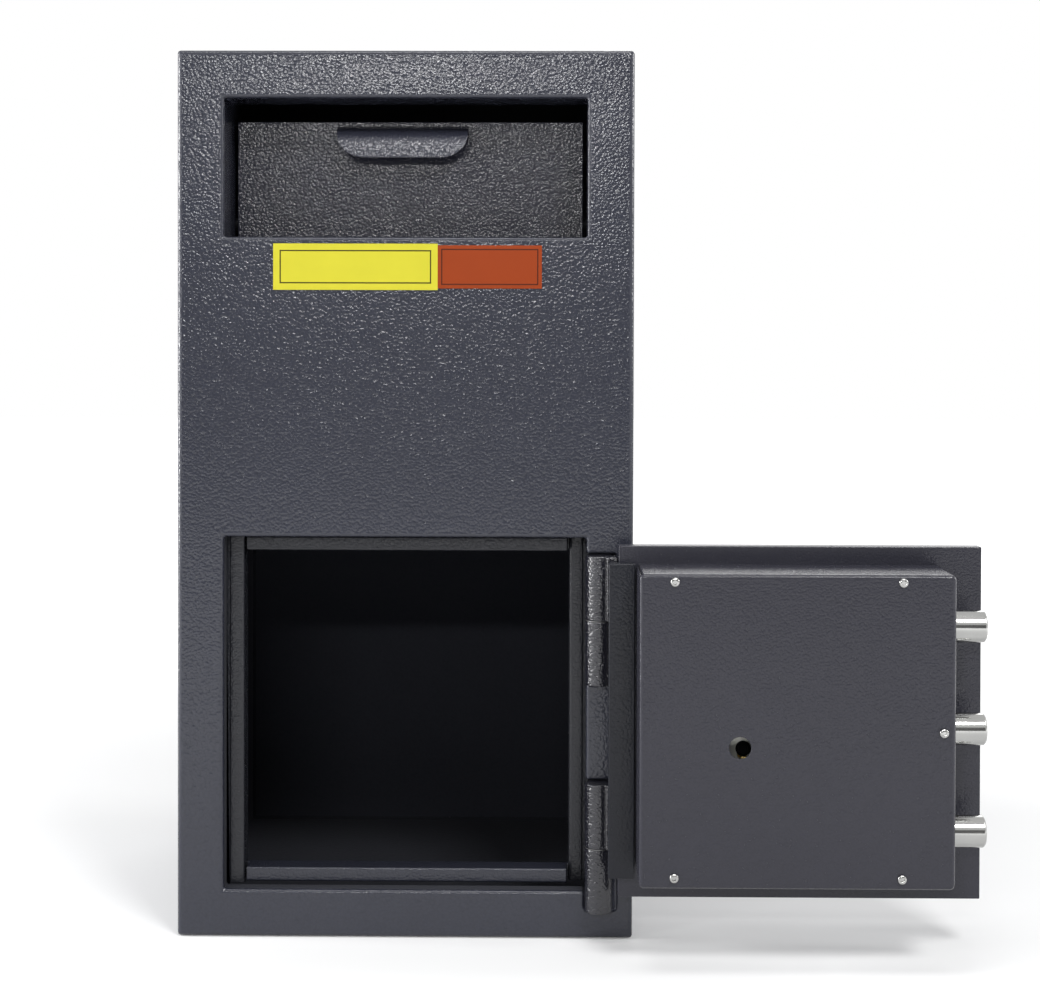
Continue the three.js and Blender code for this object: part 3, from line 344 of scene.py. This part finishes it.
SEAM = (  # distance in from the wall, place along Y
    (-0.0002, 0.1739), (-0.0002, 0.1713), (0.0026, 0.1739), (-0.0002, 0.1739),
)
inset, seam_y = (np.array(column)[:, None] for column in zip(*SEAM))
side_x, side_z = np.array([[-1, 1, 1, -1]]), np.array([[-1, -1, 1, 1]])
box_middle = (box_low[2] + box_high[2]) / 2
box_half = (box_high[2] - box_low[2]) / 2 - SHEET
seam = ring_mesh("back_seam_weld", side_x * (box_high[0] - SHEET - inset), seam_y + 0.0 * side_x,
                 box_middle + side_z * (box_half - inset), enamel_painted_shade, closed=False)
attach(seam, "body")


# Hinges: turned steel barrels on welded leaves, painted with the box, on steel pins. A steel washer
# lies between the two halves of each, and a weld runs along the barrel where it is let into the face.
def machined(name, base, roughness, grain=1.0, squeeze=(600.0, 90.0, 90.0)):
    """Bare metal on Object coordinates, with fine lines. They are noise squeezed along X, Y and Z: the
    higher the factor, the closer they lie in that direction."""
    material = bpy.data.materials.new(name)
    tree = Tree(material)
    place = tree.node("ShaderNodeTexCoord", out=3)
    drawn = tree.node("ShaderNodeVectorMath", {"operation": "MULTIPLY"}, {0: place, 1: squeeze})
    lines = tree.node("ShaderNodeTexNoise", {}, {"Vector": drawn, "Scale": 10.0, "Detail": 3.0})
    stain = tree.node("ShaderNodeTexNoise", {}, {"Vector": place, "Scale": 60.0, "Detail": 3.0})
    relief = tree.node("ShaderNodeBump", {}, {
        "Strength": 0.25 * grain, "Distance": 0.00006, "Height": lines,
    })
    tree.principled(
        base_color=tree.mixed(lines * 0.5 + stain * 0.5, shaded(base, 0.8), shaded(base, 1.12)),
        roughness=roughness + (lines - 0.5) * 0.18, normal=relief, metallic=1.0,
    )
    return material


def dress(material, *names):
    """Carried solids get the finish in their own material slots."""
    for name in names:
        mesh = nodes[name].data
        mesh.materials.clear()
        mesh.materials.append(material)


def turned_rings(profile, steps):
    """Points x = r cos a, y = r sin a and heights of each ring, for radii r and angles a. A ring's share
    of hexagon divides its radius by the cosine of the angle from the middle of the nearest flat."""
    radius, height, hexed = (np.array(column)[:, None] for column in zip(*profile))
    angle = np.linspace(0, 2 * pi, steps, endpoint=False)[None, :]
    flat = np.cos((angle + pi / 6) % (pi / 3) - pi / 6)
    out = radius * (1 - hexed + hexed / flat)
    return out * np.cos(angle), out * np.sin(angle), height + 0.0 * angle


WASHER = (  # radius, height over the lower half, share of the hexagon
    (0.0052, 0.0, 0), (0.0104, 0.0, 0), (0.0104, 0.00044, 0), (0.0052, 0.00044, 0), (0.0052, 0.0, 0),
)
WASHER_PLAY = 0.00003
BARREL_RADIUS = 0.0107
WELD_START = (0.92, -0.38)  # where it meets the barrel, in barrel radii from the pin
WELD_HOLLOW = 0.0009  # how far the curve's middle point stands off barrel and face
WELD_RIGHT = 0.1656  # X where it runs out on the face
WELD_PROUD, WELD_DEEP = 0.0001, 0.003  # over and under the face
WELD_BACK, WELD_ROOT = 0.0006, 0.8  # left of where it runs out, and right of the pin in barrel radii
WELD_ENDS, WELD_LEVELS, WELD_SIDES = 0.0002, 120, 7
RIPPLE, RIPPLE_LENGTH = 0.00018, 0.0032


def weld_section(levels, axis_x, axis_y, face_y):
    """Closed section of a hollow weld between barrel and face, at each level: a curve
    x, y = (1-t)^2 P + 2t(1-t) Q + t^2 R from the barrel to the face, whose middle Q moves with the
    ripples of the run, and two points behind it in the metal."""
    level, share = np.meshgrid(levels, np.linspace(0, 1, WELD_SIDES), indexing="ij")
    ripple = RIPPLE * np.sin(2 * pi * level / RIPPLE_LENGTH)
    start_x, start_y = axis_x + BARREL_RADIUS * WELD_START[0], axis_y + BARREL_RADIUS * WELD_START[1]
    middle_x, middle_y = axis_x + BARREL_RADIUS + WELD_HOLLOW + ripple, face_y - WELD_HOLLOW - ripple
    first, middle, last = (1 - share) ** 2, 2 * share * (1 - share), share ** 2
    x = first * start_x + middle * middle_x + last * WELD_RIGHT
    y = first * start_y + middle * middle_y + last * (face_y - WELD_PROUD)
    back = np.array([[WELD_RIGHT - WELD_BACK, axis_x + BARREL_RADIUS * WELD_ROOT]]) + 0 * level[:, :2]
    deep = face_y + WELD_DEEP + 0 * level[:, :2]
    return np.hstack([x, back]), np.hstack([y, deep]), np.hstack([level, level[:, :2]])


dark_steel = machined("oiled_steel", (0.25, 0.25, 0.25), 0.42)
dress(dark_steel, "hinge_pin_upper", "hinge_pin_lower")
enamel_barrel = hammer_enamel("hammer_enamel_barrel", bump=0.00038, base=(0.014, 0.014, 0.02),
                              shine=0.75, grain=470.0)
for level in ("upper", "lower"):
    eased(f"body_knuckle_{level}", "body", enamel_barrel, rub=0.0012, steps=3)
    eased(f"door_knuckle_{level}", "door", enamel_barrel, rub=0.0012, steps=3)
    pin_low, pin_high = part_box(f"hinge_pin_{level}")
    axis_x, axis_y = (pin_low[0] + pin_high[0]) / 2, (pin_low[1] + pin_high[1]) / 2
    bottom, top = (corner[2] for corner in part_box(f"body_knuckle_{level}"))
    across, upward, height = turned_rings(WASHER, steps=64)
    washer = ring_mesh(f"hinge_washer_{level}", axis_x + across, axis_y + upward,
                       top + WASHER_PLAY + height, dark_steel, closed=False)
    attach(washer, "body")
    run = np.linspace(bottom + WELD_ENDS, top - WELD_ENDS, WELD_LEVELS)
    weld = ring_mesh(f"hinge_weld_{level}", *weld_section(run, axis_x, axis_y, box_low[1]), enamel)
    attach(weld, "body")


# Deposit drawer: a flat front with a rolled lip, two side plates and a sloping tray, folded from
# sheet and enamelled. The lip is one strip that slopes out from the front, bends over and hangs
# down, with its two lower corners rounded.
enamel_drawer = hammer_enamel("hammer_enamel_drawer", bump=0.00027, base=(0.0145, 0.015, 0.0245),
                              shine=0.42, grain=500.0)
# Painted light: the lip's enamel is lighter than the drawer front's, for the light that falls on it.
enamel_lip_painted_light = hammer_enamel("hammer_enamel_lip_painted_light", bump=0.00026, base=(0.034, 0.036, 0.052), shine=0.7)
eased("hopper_front", "hopper", enamel_drawer, rub=0.0008)
LIP = {"back": -0.1298, "top": 0.6378, "reach": 0.020, "height": 0.0265, "left": -0.057, "right": 0.047}
LIP_CORNER = (0.0215, 0.0195)  # width and height of the rounded corner
LIP_SHEET = 0.003
LIP_BEND = 4.5  # 2 would be a round bend, and a higher figure is a sharper one
LIP_SLOPE = 0.2  # fall of its top, in shares of the height
LIP_EDGE = (1e-4, 0.97)  # least and most of the height that its corners may take off the bend
LIP_STEPS = (61, 21)  # points across and along


def rolled_lip(across, along):
    """Point at share `across` of the width and share `along` of the bend. The bend follows
    Y^n + Z^n = 1 in shares of reach and height, from the front plate outwards and down, sheared so
    that its top slopes, and ends where the rounded corner's quarter ellipse meets it."""
    x = LIP["left"] + (LIP["right"] - LIP["left"]) * across
    inside = np.clip(1.0 - np.minimum(x - LIP["left"], LIP["right"] - x) / LIP_CORNER[0], 0.0, 1.0)
    edge = LIP_CORNER[1] * (1.0 - np.sqrt(1.0 - inside ** 2)) / LIP["height"]
    edge = np.clip(edge / (1.0 - LIP_SLOPE), *LIP_EDGE)
    end = np.arctan((edge ** -LIP_BEND - 1.0) ** (1.0 / LIP_BEND))
    turn = end * along
    reach = (np.cos(turn) ** LIP_BEND + np.sin(turn) ** LIP_BEND) ** (-1.0 / LIP_BEND)
    y = LIP["back"] - LIP["reach"] * reach * np.sin(turn)
    fall = LIP_SLOPE * (1.0 - reach * np.sin(turn)) + (1.0 - LIP_SLOPE) * reach * np.cos(turn)
    z = LIP["top"] - LIP["height"] + LIP["height"] * fall
    return np.stack([x + 0.0 * along, y, z], axis=-1)


def sheet_mesh(name, points, material):
    """Quads between neighbouring points of a grid of shape (rows, columns, 3)."""
    rows, columns = points.shape[:2]
    index = np.arange(rows * columns).reshape(rows, columns)
    quads = np.stack([index[:-1, :-1], index[:-1, 1:], index[1:, 1:], index[1:, :-1]], axis=-1)
    mesh = bpy.data.meshes.new(name)
    mesh.from_pydata(points.reshape(-1, 3), [], quads.reshape(-1, 4).tolist())
    mesh.shade_smooth()
    mesh.materials.append(material)
    return placed(name, mesh)


closer_at_ends = (1 - np.cos(np.linspace(0, pi, LIP_STEPS[0]))) / 2
lip_across, lip_along = np.meshgrid(closer_at_ends, np.linspace(0, 1, LIP_STEPS[1]), indexing="ij")
lip = sheet_mesh("drawer_lip", rolled_lip(lip_across, lip_along), enamel_lip_painted_light)
thickness = lip.modifiers.new("sheet", "SOLIDIFY")
thickness.thickness = LIP_SHEET
thickness.offset = -1.0
rim = lip.modifiers.new("rubbed edges", "BEVEL")
rim.width = 0.0009
rim.segments = 3
rim.limit_method = "ANGLE"
rim.angle_limit = radians(50)
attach(lip, "hopper")
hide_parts("hopper_lip")
# The drawer's sides and tray have the darker enamel too, painted shade inside the mouth.
for name in ("hopper_side_left", "hopper_side_right", "hopper_tray"):
    eased(name, "hopper", enamel_painted_shade, rub=0.0005)


# Baffle and pivots: a toothed plate behind the drawer, which stops a hand or a hook, and the two
# studs that the drawer tips on. They have a near-black dull primer and no enamel; on the pivots it is
# painted shade, as they show through the dark gap beside the drawer.
primer_and_gap_shade = hammer_enamel("dull_primer_and_gap_shade", bump=0.00004, base=(0.012, 0.013, 0.015), gloss=0.6, shine=0.2)
eased("anti_fish_baffle", "body", primer_and_gap_shade, rub=0.0004)
dress(primer_and_gap_shade, "hopper_pivot_left", "hopper_pivot_right")


# Two stickers under the mouth: printed film, yellow and brown, each with a ruled border and
# otherwise left blank. Their ink and the film's faint waves are on the face of the film.
def ruled_film(name, node, ground, ink, inset, line):
    """Flat colour, with a border drawn where the distance to the nearest edge is the inset, give or take
    half a line."""
    low, high = (np.array(corner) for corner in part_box(node))
    centre, half = (low + high) / 2, (high - low) / 2
    material = bpy.data.materials.new(name)
    tree = Tree(material)
    place = tree.node("ShaderNodeTexCoord", out=3)
    parts = tree.node("ShaderNodeSeparateXYZ", {}, {"Vector": place})
    to_side = half[0] - abs(parts - float(centre[0]))
    to_end = half[2] - abs(parts.of("Z") - float(centre[2]))
    nearest = to_side.maths("MINIMUM", to_side, to_end)
    border = abs(nearest - inset) < line / 2
    tone = tree.node("ShaderNodeTexNoise", {}, {"Vector": place, "Scale": 45.0, "Detail": 2.0})
    paper = tree.mixed(tone, shaded(ground, 0.94), shaded(ground, 1.05))
    waves = tree.node("ShaderNodeTexNoise", {}, {"Vector": place, "Scale": 160.0, "Detail": 1.0})
    relief = tree.node("ShaderNodeBump", {}, {"Strength": 0.12, "Distance": 0.0002, "Height": waves})
    tree.principled(
        base_color=tree.mixed(border, paper, ink + (1.0,)), roughness=0.42 + tone * 0.08,
        normal=relief, specular_ior_level=0.15,
    )
    return material


yellow = ruled_film("yellow_film", "sticker_yellow", ground=(0.62, 0.57, 0.037), ink=(0.07, 0.06, 0.008),
                    inset=0.0055, line=0.0011)
brown = ruled_film("brown_film", "sticker_brown", ground=(0.29, 0.043, 0.0065), ink=(0.07, 0.012, 0.004),
                   inset=0.0032, line=0.001)
dress(yellow, "sticker_yellow")
dress(brown, "sticker_brown")


# Door: a half-inch plate with a dead bar welded along its hinged edge. The plate is flame cut, then
# ground and enamelled, so its skin is flatter than that of the box, and thinner still on the bar.
enamel_door = hammer_enamel("hammer_enamel_door", bump=0.00016, base=(0.026, 0.026, 0.036), gloss=0.2,
                            shine=0.38, grain=560.0)
# Painted shadow: the dead bar's enamel is darker, for the shadow that the boltwork cover casts on it.
enamel_bar_painted_shadow = hammer_enamel("hammer_enamel_bar_painted_shadow", bump=0.00014, base=(0.011, 0.012, 0.017), gloss=0.2,
                           shine=0.28)
for name, finish in (("door_plate", enamel_door), ("dead_bar", enamel_bar_painted_shadow)):
    eased(name, "door", finish, rub=0.0009)


# Boltwork cover: a pan of 2 mm sheet over the bolts and the lock, with a hole for the change key.
# Five pan-head screws with hexagonal sockets hold it to its four posts and to the bolts' guide.
eased("boltwork_cover", "door", enamel_door, rub=0.0004)
dress(dark_steel, "cover_post_1", "cover_post_2", "cover_post_3", "cover_post_4")

bright_steel = machined("polished_steel", (0.41, 0.41, 0.4), 0.14, squeeze=(1.5, 26.0, 26.0))
SCREW = (  # radius, height over the cover's face, share of the hexagon
    (0.0017, -0.0065, 0), (0.0017, 0.0002, 0), (0.0031, 0.0002, 0), (0.00345, 0.0006, 0),
    (0.00345, 0.0012, 0), (0.0033, 0.0018, 0), (0.0029, 0.0022, 0), (0.0023, 0.0024, 0),
    (0.0017, 0.00245, 1), (0.0015, 0.0023, 1), (0.00145, 0.0012, 1),
)
cover_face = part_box("boltwork_cover")[0][1]
for number in range(1, 6):
    low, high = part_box(f"cover_screw_{number}")
    across, upward, height = turned_rings(SCREW, steps=48)
    screw = ring_mesh(f"pan_screw_{number}", (low[0] + high[0]) / 2 + across, cover_face - height,
                      (low[2] + high[2]) / 2 + upward, bright_steel)
    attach(screw, "door")
    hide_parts(f"cover_screw_{number}")


# Locking bolts: three bars of turned and polished steel, 24 mm thick, with a small chamfer at the
# end. Polishing them lengthwise left faint streaks along the bar. They pass through a guide, and the
# carriage that joins them slides on two studs.
dress(dark_steel, "bolt_guide", "bolt_carriage", "guide_stud_1", "guide_stud_2")
for level in ("top", "middle", "bottom"):
    eased(f"locking_bolt_{level}", "boltwork", bright_steel, rub=0.0004)


# Lock: a die-cast zinc case with brass wheels, behind a hard plate, seen only through the hole in the
# cover. A blackened steel socket for the change key is pressed into its lid; its near-black is also
# painted shade, for the dark of the key hole.
zinc = machined("cast_zinc", (0.8, 0.8, 0.74), 0.42, grain=2.0)
brass = machined("machined_brass", (0.5, 0.36, 0.14), 0.3)
oxide_and_hole_shade = machined("black_oxide_and_hole_shade", (0.012, 0.012, 0.013), 0.5)
dress(zinc, "lock_case", "lock_cover")
dress(brass, "lock_bolt", "drive_cam", "lock_wheel_1", "lock_wheel_2", "lock_wheel_3")
dress(dark_steel, "hard_plate")
SOCKET = (  # radius, height over the lid, share of the hexagon
    (0.0058, 0.0, 0), (0.0058, 0.0007, 0), (0.0054, 0.0009, 0), (0.0034, 0.0009, 1),
    (0.0033, 0.0002, 1),
)
socket_x, socket_z = 0.2585, 0.1616
socket_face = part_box("lock_cover")[0][1]
across, upward, height = turned_rings(SOCKET, steps=48)
socket = ring_mesh("key_socket", socket_x + across, socket_face - height, socket_z + upward, oxide_and_hole_shade)
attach(socket, "door")


# Handle: satin chrome lever and rose on the outside of the door. Its steel spindle runs through the
# plate and a brass bush behind it, and carries the crank that moves the bolts.
satin_chrome = machined("satin_chrome", (0.6, 0.6, 0.61), 0.27, grain=0.6)
dress(dark_steel, "handle_spindle", "handle_crank")
dress(brass, "spindle_bush")
eased("handle_rose", "door", satin_chrome, rub=0.0008, steps=3)
eased("handle_lever", "handle", satin_chrome, rub=0.001, steps=3)


# Dial: black, with white lines for a hundred numbers round its sloping rim, in a satin chrome ring.
# It turns the lock's wheels through a steel spindle.
dress(dark_steel, "dial_spindle")
eased("dial_ring", "door", satin_chrome, rub=0.0008, steps=3)


def dial_black(name, centre, radius):
    """Black enamel with a hundred white lines by angle about the spindle, longer at each ten and
    middling at each five, and only near the rim."""
    material = bpy.data.materials.new(name)
    tree = Tree(material)
    place = tree.node("ShaderNodeTexCoord", out=3)
    parts = tree.node("ShaderNodeSeparateXYZ", {}, {"Vector": place})
    x, z = parts - centre[0], parts.of("Z") - centre[1]
    turn = x.maths("ARCTAN2", z, x) * (1 / (2 * pi))
    from_axis = (x * x + z * z).maths("SQRT", x * x + z * z)

    bare_rim = 0.0006

    def lines(count, half, inner):
        """1 within half a line's width of each of so many spokes, from the inner radius to the rim."""
        share = turn.maths("FRACT", turn * count + 0.5)
        near = abs(share - 0.5) * (2 * pi / count)
        return (near * from_axis < half) * (from_axis > inner) * (from_axis < radius - bare_rim)

    ones = lines(100, half=0.00018, inner=radius - 0.0032)
    fives = lines(20, half=0.00022, inner=radius - 0.0045)
    tens = lines(10, half=0.0003, inner=radius - 0.006)
    marks = ones.maths("MAXIMUM", ones.maths("MAXIMUM", ones, fives), tens)
    black, white = (0.012, 0.012, 0.013, 1.0), (0.8, 0.8, 0.78, 1.0)
    tree.principled(
        base_color=tree.mixed(marks, black, white),
        roughness=0.3 + marks * 0.2, coat_weight=0.3,
    )
    return material


dial_low, dial_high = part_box("dial")
dial_centre = ((dial_low[0] + dial_high[0]) / 2, (dial_low[2] + dial_high[2]) / 2)
dress(dial_black("dial_black", dial_centre, (dial_high[0] - dial_low[0]) / 2), "dial")


# Numbers 0 to 90 in white paint on the dial's slope, their heads outwards, and a black mark on the
# ring above them. The dial faces backwards while the door stands open.
FIGURE_RADIUS, FIGURE_HEIGHT = 0.0223, 0.0068
SLOPE_START, SLOPE_FOOT, SLOPE_RISE = 0.016, 0.011, -4.0 / 15.0  # radius, height there, rise per metre
PAINT = 0.00004


def painted(name, colour):
    """Flat paint, a little uneven in tone, on Object coordinates."""
    material = bpy.data.materials.new(name)
    tree = Tree(material)
    place = tree.node("ShaderNodeTexCoord", out=3)
    tone = tree.node("ShaderNodeTexNoise", {}, {"Vector": place, "Scale": 900.0})
    tree.principled(
        base_color=tree.mixed(tone, grey(colour * 0.85), grey(colour)), roughness=0.4 + tone * 0.2)
    return material


def on_slope(across, up, turned):
    """Point of the dial's cone for a drawing turned clockwise from the top:
    y = foot + rise * (r - start) + thickness of the paint, at a distance r from the spindle."""
    out = FIGURE_RADIUS + up
    side = across * np.cos(turned) + out * np.sin(turned)
    height = out * np.cos(turned) - across * np.sin(turned)
    radius = np.hypot(side, height)
    y = dial_low[1] + SLOPE_FOOT + SLOPE_RISE * (radius - SLOPE_START) + PAINT
    return np.stack([dial_centre[0] - side, y, dial_centre[1] + height], axis=-1)


figure_points, figure_faces, first = [], [], 0
for number in range(10):
    letters = bpy.data.curves.new("figure", "FONT")
    letters.body = str(number * 10)
    letters.size = FIGURE_HEIGHT
    letters.align_x = letters.align_y = "CENTER"
    letters.resolution_u = 3
    carrier = placed("figure", letters)
    graph = bpy.context.evaluated_depsgraph_get()
    drawn = bpy.data.meshes.new_from_object(carrier.evaluated_get(graph))
    flat_points = np.empty(len(drawn.vertices) * 3)
    drawn.vertices.foreach_get("co", flat_points)
    across, up, _ = flat_points.reshape(-1, 3).T
    figure_points.append(on_slope(across, up, number * pi / 5))
    figure_faces += [[first + corner for corner in face.vertices] for face in drawn.polygons]
    first += len(drawn.vertices)
    bpy.data.objects.remove(carrier)
    bpy.data.curves.remove(letters)
    bpy.data.meshes.remove(drawn)
figure_mesh = bpy.data.meshes.new("dial_figures")
figure_mesh.from_pydata(np.concatenate(figure_points), [], figure_faces)
figure_mesh.materials.append(painted("white_paint", 0.8))
figures = placed("dial_figures", figure_mesh)
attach(figures, "dial")

ring_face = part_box("dial_ring")[1][1] + PAINT
MARK = np.array([(0.0, 0.0346), (0.0012, 0.0386), (-0.0012, 0.0386)])  # across and up from the spindle
mark_mesh = bpy.data.meshes.new("dial_mark")
mark_points = np.stack(
    [dial_centre[0] - MARK[:, 0], 0 * MARK[:, 0] + ring_face, dial_centre[1] + MARK[:, 1]], axis=-1)
mark_mesh.from_pydata(mark_points, [], [(0, 1, 2)])
mark_mesh.materials.append(painted("black_paint", 0.01))
mark = placed("dial_mark", mark_mesh)
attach(mark, "door")
